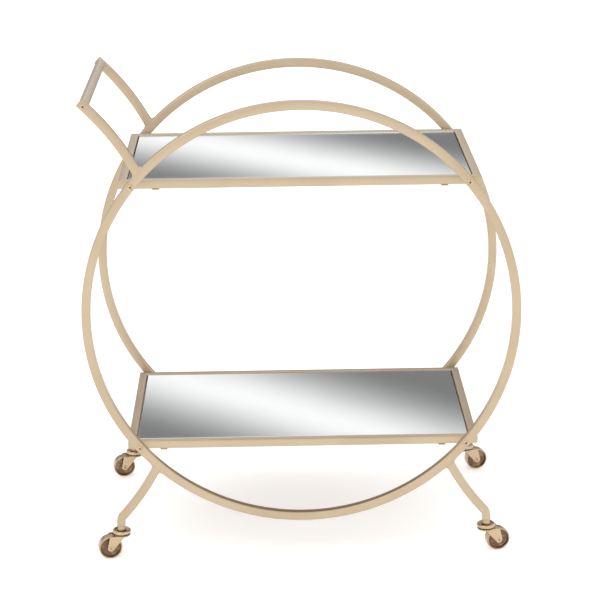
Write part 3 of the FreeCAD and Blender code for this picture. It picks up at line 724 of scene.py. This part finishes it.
# %% [markdown]
# ## Plates with soft edges
# Mirrors, straps and the casters' pressed parts are all plates: an outline, a thickness, and an
# edge that is rounded or ground off. A row of the grid is the outline drawn in by some inset at
# some height, so a short list of (inset, height) pairs is the whole shape of the edge.

# %% Plates


def drawn_in(outline, inset):
    """Move each outline point in along its own normal, from its neighbours' direction."""
    ahead = np.roll(outline, -1, axis=0) - np.roll(outline, 1, axis=0)
    normal = np.stack([-ahead[:, 1], ahead[:, 0]], axis=-1)
    normal /= np.linalg.norm(normal, axis=1)[:, None]
    return outline + normal * inset


def plate(outline, edge, place, first, second, normal):
    """Rows of place + first * u + second * v + normal * height for each (inset, height)."""
    rows = []
    for inset, height in edge:
        drawn = drawn_in(outline, inset)
        flat = drawn[:, 0, None] * first + drawn[:, 1, None] * second
        rows.append(place + flat + normal * height)
    return np.stack(rows)


def round_edge(thickness, radius, steps=4):
    """(inset, height) pairs for a plate rounded by quarter circles at both faces."""
    angle = np.linspace(0.0, math.pi / 2, steps)
    inset = radius * (1 - np.cos(angle))
    rise = radius * np.sin(angle)
    lower = list(zip(inset[::-1], radius - rise[::-1]))
    upper = list(zip(inset, thickness - radius + rise))
    return lower + upper


PLATE_CORNER = 1.0 * MM
PANE_BEVEL = 1.0 * MM
PANE_ARRIS = 0.3 * MM
STRAP_THICKNESS = 2.0 * MM
STRAP_ROUND = 0.4 * MM


def slab_piece(node, name, edge, material):
    """A flat plate in the place of a CAD node, from the node's underside up."""
    middle, extent = node_middle(node)
    outline = rounded_box(extent[0] / 2, extent[1] / 2, PLATE_CORNER, 4)
    grid = plate(outline, edge, middle - Z * extent[2] / 2, X, Y, Z)
    return make_piece(name, [(grid, False)], material, "cart", [node])


def make_shelf(level):
    thick = node_middle(f"{level}_mirror")[1][2]
    ground = [(PANE_ARRIS, 0.0), (0.0, PANE_ARRIS), (0.0, thick - PANE_BEVEL), (PANE_BEVEL, thick)]
    slab_piece(f"{level}_mirror", f"{level}_mirror_pane", ground, mirror_glass)
    strap = round_edge(STRAP_THICKNESS, STRAP_ROUND)
    for side in SIDES:
        node = f"{level}_{side}_strap"
        slab_piece(node, f"{node}_bar", strap, enamel)


for level in LEVELS:
    make_shelf(level)
    print(level, "mirror and straps made")

# %% [markdown]
# ## Turned parts
# Wheels, rivets, caps and screw heads are bodies of revolution: a profile of (radius, height)
# pairs spun round an axis. Corners of a profile are rounded before it is spun, by swapping each
# corner for a short curve between its two sides.

# %% Spin a profile
TURN_STEPS = 64


def rounded_profile(corners, steps=4):
    """Swap each (radius, height, rounding) corner for a curve that leaves one side and joins the
    next, a quadratic Bezier whose middle control point is the corner itself."""
    spots = np.array([[radius, height] for radius, height, _ in corners])
    points = []
    for index, (_, _, rounding) in enumerate(corners):
        here = spots[index]
        before = spots[index - 1] if index else here
        after = spots[index + 1] if index + 1 < len(corners) else here
        if rounding == 0.0:
            points.append(here[None])
            continue
        back = here + (before - here) / np.linalg.norm(before - here) * rounding
        on = here + (after - here) / np.linalg.norm(after - here) * rounding
        t = np.linspace(0.0, 1.0, steps)[:, None]
        points.append((1 - t) ** 2 * back + 2 * t * (1 - t) * here + t**2 * on)
    return np.concatenate(points)


def spun(profile, place, axis, side, steps=TURN_STEPS):
    """Rows of place + axis * height + radius * (side cos t + third sin t)."""
    third = np.cross(axis, side)
    angle = np.linspace(0.0, 2 * math.pi, steps, endpoint=False)
    ray = np.cos(angle)[:, None] * side + np.sin(angle)[:, None] * third
    radius = profile[:, 0, None, None]
    return place + axis * profile[:, 1, None, None] + radius * ray[None, :, :]


print("turning helper ready")

# %% [markdown]
# ## Casters
# A caster is drawn in its own directions: `ahead` points from the stem to the wheel it trails,
# `axle` lies along the wheel's pin, and up is up. The wheel is turned, the fork is three pressed
# plates, and the cap is a dished disc whose raised rim catches the light.

# %% The casters' directions and the shared outline of a cheek
CASTER_TURN = math.radians(12.0)
TRAIL = 19.5 * MM
WHEEL_RADIUS = 19.0 * MM
FORK_TOP = 39.0 * MM
FORK_ROOF = 2.5 * MM
CHEEK = 2.2 * MM
CHEEK_INSIDE = 8.8 * MM
DISH_FLOOR = 44.6 * MM
CAP_TOP = 46.8 * MM


def caster_frame(sign_x, sign_y):
    stem = np.array([sign_x * FOOT_X, sign_y * HOOP_Y, 0.0])
    ahead = sign_x * np.array([math.cos(CASTER_TURN), math.sin(CASTER_TURN), 0.0])
    axle = sign_x * np.array([-math.sin(CASTER_TURN), math.cos(CASTER_TURN), 0.0])
    return stem, ahead, axle


def hull_of_circles(circles, steps=96):
    """Outline of a band stretched round circles: at each angle, the point furthest that way."""
    angle = np.linspace(0.0, 2 * math.pi, steps, endpoint=False)
    normal = np.stack([np.cos(angle), np.sin(angle)], axis=-1)
    centres = np.array([circle[:2] for circle in circles])
    radii = np.array([circle[2] for circle in circles])
    furthest = np.argmax(normal @ centres.T + radii, axis=1)
    return centres[furthest] + radii[furthest, None] * normal


CHEEK_OUTLINE = MM * hull_of_circles(
    [(19.5, 19.0, 5.5), (19.6, 37.2, 1.4), (-1.8, 37.4, 1.2), (-2.0, 37.0, 1.0)]
)
print("cheek outline:", len(CHEEK_OUTLINE), "points")

# %% [markdown]
# The wheel has a proud rim, a thin web and a hub. Its profile runs from the bore out to the tread
# on one side and back on the other. The sunk web gets the deepest painted shade, and the rim and
# tread a lighter one.

# %% Turn a wheel


def mirrored(half):
    """A profile's corners below the middle, then the same corners above it in reverse order."""
    lower = [(radius, -height, rounding) for radius, height, rounding in half]
    return lower + half[::-1]


WHEEL_HALF = [
    (2.55, 8.5, 0.0),
    (5.3, 8.5, 0.5),
    (5.7, 4.1, 0.9),
    (15.4, 3.6, 1.2),
    (16.5, 7.7, 0.3),
    (17.6, 8.0, 0.4),
    (18.6, 7.6, 0.6),
    (19.0, 5.8, 0.8),
]
WHEEL_PROFILE = rounded_profile(mirrored(WHEEL_HALF)) * MM


# painted shade on the rim and tread
RIM_SHADE = 0.38


def wheel_painted_shade(profile):
    """How much painted shade a wheel's point gets: 1 on the sunk web, less on the rim and tread, 0 on
    the hub.
    """
    radius = profile[:, 0] / MM
    depth = np.clip((7.8 - np.abs(profile[:, 1]) / MM) / 2.5, 0.0, 1.0)
    web = depth * (radius < 16.6) * np.clip((radius - 2.0) / 3.0, 0.0, 1.0)
    return np.maximum(web, RIM_SHADE * (radius > 16.0))


def spread(values, columns):
    """One value per row of a grid, repeated for every point of the row."""
    return np.repeat(values, columns)


def make_wheel(corner, stem, ahead, axle):
    place = stem + ahead * TRAIL + Z * WHEEL_RADIUS
    shells = [(spun(WHEEL_PROFILE, place, axle, ahead), True)]
    recess = [spread(wheel_painted_shade(WHEEL_PROFILE), TURN_STEPS)]
    node = f"{corner}_caster_wheel"
    return make_piece(f"{node}_cast", shells, caster_brass, node, [node], recess)


print("wheel profile:", len(WHEEL_PROFILE), "points")

# %% [markdown]
# The fork is pressed from strip: a round roof that turns under the cap, flattened where the wheel
# comes up behind it, and two tapered cheeks that end round the pin. The pin is a tubular rivet,
# so each head has a small dimple.

# %% Press a fork and rivet it
ROOF_RADIUS = 14.0 * MM
ROOF_FLAT = 11.4 * MM
ROOF_ROUND = 0.9 * MM
CHEEK_ROUND = 0.7 * MM
RIVET_STEPS = 32


def roof_outline(radius, flat, steps=72):
    """A circle cut straight at the wheel's side: x is never more than flat."""
    angle = np.linspace(0.0, 2 * math.pi, steps, endpoint=False)
    x = np.minimum(radius * np.cos(angle), flat)
    return np.stack([x, radius * np.sin(angle)], axis=-1)


def make_fork(corner, stem, ahead, axle):
    roof_edge = round_edge(FORK_ROOF, ROOF_ROUND)
    roof_place = stem + Z * (FORK_TOP - FORK_ROOF)
    roof = plate(roof_outline(ROOF_RADIUS, ROOF_FLAT), roof_edge, roof_place, ahead, axle, Z)
    shells = [(roof, False)]
    cheek_edge = round_edge(CHEEK, CHEEK_ROUND)
    for sign in (-1, 1):
        place = stem + axle * sign * CHEEK_INSIDE
        shells.append((plate(CHEEK_OUTLINE, cheek_edge, place, ahead, Z, axle * sign), False))
    node = f"{corner}_caster_fork"
    shade = [np.zeros(grid.shape[0] * grid.shape[1]) for grid, _ in shells]
    return make_piece(f"{node}_pressing", shells, caster_brass, node, [node], shade)


RIVET_HALF = [
    (0.2, 11.5, 0.0),
    (1.2, 11.5, 0.3),
    (1.6, 12.1, 0.3),
    (3.0, 12.0, 0.8),
    (4.0, 11.3, 0.4),
    (4.0, 11.0, 0.0),
    (2.5, 11.0, 0.0),
]
RIVET_PROFILE = rounded_profile(mirrored(RIVET_HALF)) * MM


def make_rivet(corner, stem, ahead, axle):
    place = stem + ahead * TRAIL + Z * WHEEL_RADIUS
    shells = [(spun(RIVET_PROFILE, place, axle, ahead, RIVET_STEPS), False)]
    # painted shade in the rivet's dimple
    recess = [spread((RIVET_PROFILE[:, 0] < 1.5 * MM) * 0.9, RIVET_STEPS)]
    node, fork = f"{corner}_caster_axle", f"{corner}_caster_fork"
    return make_piece(f"{node}_rivet", shells, caster_brass, fork, [node], recess)


print("rivet profile:", len(RIVET_PROFILE), "points")

# %% [markdown]
# The cap stands still with the leg while the fork turns under it. Its raised rim is a half-round
# ring, with a dish inside where the stem's cone stands; the dish and the cap's underside get painted
# shade.

# %% Turn the cap and the stem
STEM_STEPS = 48
CAP_PROFILE = MM * rounded_profile(
    [
        (4.1, 41.4, 0.0),
        (12.9, 41.4, 0.0),
        (14.8, 42.0, 0.4),
        (14.8, 45.0, 0.8),
        (13.7, 46.8, 1.2),
        (11.6, 46.8, 1.0),
        (10.6, 44.6, 0.5),
        (4.1, 44.6, 0.0),
    ],
    5,
)
STEM_PROFILE = MM * rounded_profile(
    [
        (0.3, 34.6, 0.0),
        (6.0, 34.6, 0.5),
        (6.0, 36.2, 0.4),
        (4.0, 36.2, 0.0),
        (4.0, 44.6, 0.0),
        (7.5, 44.6, 0.3),
        (7.2, 46.4, 0.6),
        (5.9, 49.6, 0.8),
        (6.0, 53.0, 0.0),
        (0.3, 53.0, 0.0),
    ]
)


def make_cap(corner, stem, ahead):
    shells = [(spun(CAP_PROFILE, stem, Z, ahead), True)]
    radius, height = CAP_PROFILE[:, 0], CAP_PROFILE[:, 1]
    # painted shade: the dish darkens with its depth, up to 0.6, and the cap's underside by 0.7
    sunk = np.clip((CAP_TOP - height) / (CAP_TOP - DISH_FLOOR), 0.0, 0.6) * (radius < 11.4 * MM)
    underside_shade = (height < 41.7 * MM) * 0.7
    recess = [spread(np.maximum(sunk, underside_shade), TURN_STEPS)]
    node = f"{corner}_caster_cap"
    return make_piece(f"{node}_dish", shells, caster_brass, "cart", [node], recess)


def make_stem(corner, stem, ahead):
    shells = [(spun(STEM_PROFILE, stem, Z, ahead, STEM_STEPS), False)]
    height = STEM_PROFILE[:, 1]
    # painted shade on the stem, deepening from 50 mm down to 46 mm below the leg's end
    recess = [spread(np.clip((50.0 * MM - height) / (4.0 * MM), 0.0, 0.9), STEM_STEPS)]
    node = f"{corner}_caster_stem"
    return make_piece(f"{node}_pin", shells, caster_brass, "cart", [node], recess)


def make_caster(end, side, sign_y, sign_x):
    corner = f"{end}_{side}"
    stem, ahead, axle = caster_frame(sign_x, sign_y)
    make_wheel(corner, stem, ahead, axle)
    make_fork(corner, stem, ahead, axle)
    make_rivet(corner, stem, ahead, axle)
    make_cap(corner, stem, ahead)
    make_stem(corner, stem, ahead)
    return corner


for end, sign_y in ENDS.items():
    for side, sign_x in SIDES.items():
        print(make_caster(end, side, sign_y, sign_x), "caster made")

# %% [markdown]
# ## Button-head screws
# A button head is a low dome with a hexagon socket. The dome's height at each radius follows a
# sphere. The socket's rim swaps the circle's radius for the distance to a hexagon's side, which
# is its inradius divided by the cosine of the angle from the side's middle.

# %% Turn the screws
HEAD_RADIUS = 4.75 * MM
HEAD_HEIGHT = 2.75 * MM
SOCKET_HALF = 1.5 * MM
SOCKET_DEPTH = 1.6 * MM
SHANK_RADIUS = 2.5 * MM
SHANK_LENGTH = 20.0 * MM
SCREW_STEPS = 48


def screw_shell(place, out, side):
    """Rows from the socket's floor up its walls, over the dome, and down the shank."""
    angle = np.linspace(0.0, 2 * math.pi, SCREW_STEPS, endpoint=False)
    from_middle = np.mod(angle, math.pi / 3) - math.pi / 6
    hexagon = SOCKET_HALF / np.cos(from_middle)
    ball = (HEAD_RADIUS**2 + HEAD_HEIGHT**2) / (2 * HEAD_HEIGHT)
    dome_radii = np.linspace(1.95 * MM, HEAD_RADIUS, 10)
    dome = np.sqrt(ball**2 - dome_radii**2) - (ball - HEAD_HEIGHT)
    top = dome[0]
    circle = np.ones(SCREW_STEPS)
    rows = [(circle * 0.1 * MM, top - SOCKET_DEPTH - 0.3 * MM)]
    rows += [(hexagon, top - SOCKET_DEPTH), (hexagon, top - 0.12 * MM), (hexagon + 0.1 * MM, top)]
    rows += [(circle * radius, height) for radius, height in zip(dome_radii, dome)]
    rows += [(circle * SHANK_RADIUS, 0.0), (circle * SHANK_RADIUS, -SHANK_LENGTH)]
    third = np.cross(out, side)
    ray = np.cos(angle)[:, None] * side + np.sin(angle)[:, None] * third
    grid = np.stack([place + radius[:, None] * ray + out * height for radius, height in rows])
    recess = np.zeros(grid.shape[:2])
    # painted shade on the socket's floor and walls
    recess[:3] = 1.0
    return (grid, False), recess.reshape(-1)


def make_screws(node, places):
    made = [screw_shell(np.array(place), out, Z) for place, out in places]
    shells = [shell for shell, _ in made]
    recess = [values for _, values in made]
    return make_piece(f"{node}_heads", shells, screw_brass, "cart", [node], recess)


FRAME_FACE = HOOP_Y + HALF_TUBE
SHELF_OFFSET = node_middle("upper_front_rail")[0][2] - HOOP_CENTRE[1]
SCREW_X = math.sqrt(MID_RADIUS**2 - SHELF_OFFSET**2)
for level, rise in LEVELS.items():
    height = HOOP_CENTRE[1] + rise * SHELF_OFFSET
    places = [
        ((sign_x * SCREW_X, sign_y * FRAME_FACE, height), Y * sign_y)
        for sign_x in SIDES.values()
        for sign_y in ENDS.values()
    ]
    print(make_screws(f"{level}_shelf_screws", places).name, "at x =", round(SCREW_X, 4))
handle_places = [
    ((HANDLE_PLACE[0], sign_y * FRAME_FACE, HANDLE_PLACE[1]), Y * sign_y)
    for sign_y in ENDS.values()
]
print(make_screws("handle_screws", handle_places).name)

# %% [markdown]
# ## Finishes for what stays hidden
# The rivet nuts, the plugs, the bearing balls and the boards keep their modelled shapes and only
# get a finish.

# %% Dress the remaining CAD nodes


def dress(node, material):
    slots = NODES[node].data.materials
    for index in range(len(slots)):
        slots[index] = material


STEEL_NODES = ["handle_end_plugs", "leg_foot_plugs", "lower_rivet_nuts", "upper_rivet_nuts"]
STEEL_NODES += [f"{end}_{side}_caster_balls" for end in ENDS for side in SIDES]
BOARD_NODES = [f"{level}_backing_board" for level in LEVELS]
for node in STEEL_NODES:
    dress(node, zinc_steel)
for node in BOARD_NODES:
    dress(node, fibreboard)
print("dressed", len(STEEL_NODES) + len(BOARD_NODES), "nodes")

# %% [markdown]
# ## Studio
# A white floor and white surroundings, one broad soft light above and to the left, and a weaker
# one from the right. Behind the cart stand soft cards that only reflections see: a mirror shows
# whatever stands opposite it, so their light-to-grey sweep is what the shelves show. A wide grey
# card behind them keeps the tops of the tubes from going white.

# %% Floor, surroundings and lights


def stage_sheet(name, corners, material):
    """One flat four-cornered piece of the studio."""
    mesh = bpy.data.meshes.new(name)
    mesh.from_pydata(corners, [], [(0, 1, 2, 3)])
    mesh.materials.append(material)
    sheet = bpy.data.objects.new(name, mesh)
    bpy.context.scene.collection.objects.link(sheet)
    return sheet


def make_floor():
    finish = Finish("studio_floor")
    mottle = finish.noise(3.0, 2.0)
    paint = finish.surface(
        Base_Color=finish.blend(mottle, (0.90, 0.90, 0.90), (0.93, 0.93, 0.93)),
        Roughness=0.85,
        Emission_Color=(1.0, 1.0, 1.0, 1.0),
        Emission_Strength=0.37,
    )
    corners = [(-6.0, -6.0, 0.0), (6.0, -6.0, 0.0), (6.0, 6.0, 0.0), (-6.0, 6.0, 0.0)]
    return stage_sheet("floor", corners, paint)


def make_light(name, place, size, power, target=(0.0, 0.0, 0.4)):
    lamp = bpy.data.lights.new(name, "AREA")
    lamp.shape = "RECTANGLE"
    lamp.size, lamp.size_y = size
    lamp.energy = power
    light = bpy.data.objects.new(name, lamp)
    light.location = place
    aim_at = Matrix.Translation(target).translation - light.location
    light.rotation_euler = aim_at.to_track_quat("-Z", "Y").to_euler()
    bpy.context.scene.collection.objects.link(light)
    return light


world = bpy.data.worlds.new("studio")
world.use_nodes = True
world.node_tree.nodes["Background"].inputs["Color"].default_value = (1.0, 1.0, 1.0, 1.0)
world.node_tree.nodes["Background"].inputs["Strength"].default_value = 1.0
bpy.context.scene.world = world
bpy.context.scene.view_settings.view_transform = "Standard"
make_floor()
make_light("key", (-1.6, -2.4, 2.6), (2.0, 1.6), 18.0)
make_light("fill", (2.4, -1.8, 1.6), (1.6, 1.6), 6.0)
print("studio ready")

# %% The cards that the mirrors see
GREY_CARD_Y = 2.2
CARD_Y = 2.0
CARD_HALF_WIDTH = 1.2
CARD_SEAM = 1.0425  # height where one card's sheet gives way to the next
SWEEP_REACH = 0.437
SWEEP_LEAN = 1.5
SWEEP_SHIFT = 0.17
UNREFLECTED = ["front_hoop_tube", "back_hoop_tube", "front_handle_arm_tube", "back_handle_arm_tube"]
UNREFLECTED += ["arm_weld_fillets", "leg_weld_fillets"]


def hang_card(finish, strength, half_width, y, low, high):
    """A standing sheet that glows, and that only reflections see."""
    glow = finish.node("ShaderNodeEmission", None, Strength=strength)
    finish.tree.links.new(glow.socket, finish.output.inputs[0])
    left, right = -half_width, half_width
    corners = [(left, y, low), (right, y, low), (right, y, high), (left, y, high)]
    card = stage_sheet(finish.material.name, corners, finish.material)
    card.visible_camera = False
    card.visible_diffuse = False
    card.visible_shadow = False
    return card


def across_and_up(finish):
    """A card's own x and z, as two values."""
    across = finish.node("ShaderNodeSeparateXYZ", None, finish.place())
    return across, Value(finish, across.socket.node.outputs[2])


def make_grey_card():
    """A wide grey card behind the others, lighter upwards, for the tops of the tubes to reflect."""
    finish = Finish("grey_card")
    _, up = across_and_up(finish)
    strength = 0.42 + up.between(0.7, 1.7) * 0.80
    return hang_card(finish, strength, 2.6, GREY_CARD_Y, 0.15, 2.6)


def make_sweep_card(name, sweep_low, sweep_high, low, high):
    """A card whose brightness falls either side of a slanting line.
    The slant is lean * x / reach - (z - middle) / half height + shift, and the fall from the line
    is an S curve of the slant's size."""
    finish = Finish(name)
    middle = (sweep_low + sweep_high) / 2
    half = (sweep_high - sweep_low) / 2
    across, up = across_and_up(finish)
    slant = across * (SWEEP_LEAN / SWEEP_REACH) - (up - middle) / half + SWEEP_SHIFT
    fall = slant.size().between(0.0, 2.08)
    tone = (0.99 - fall * 0.50) ** 2.2
    return hang_card(finish, tone * 1.05, CARD_HALF_WIDTH, CARD_Y, low, high)


print(make_grey_card().name)
print(make_sweep_card("low_card", 0.852, 1.0385, 0.852, CARD_SEAM).name)
print(make_sweep_card("high_card", 1.0385, 1.157, CARD_SEAM, 1.157).name)
for name in UNREFLECTED:
    bpy.data.objects[name].visible_glossy = False
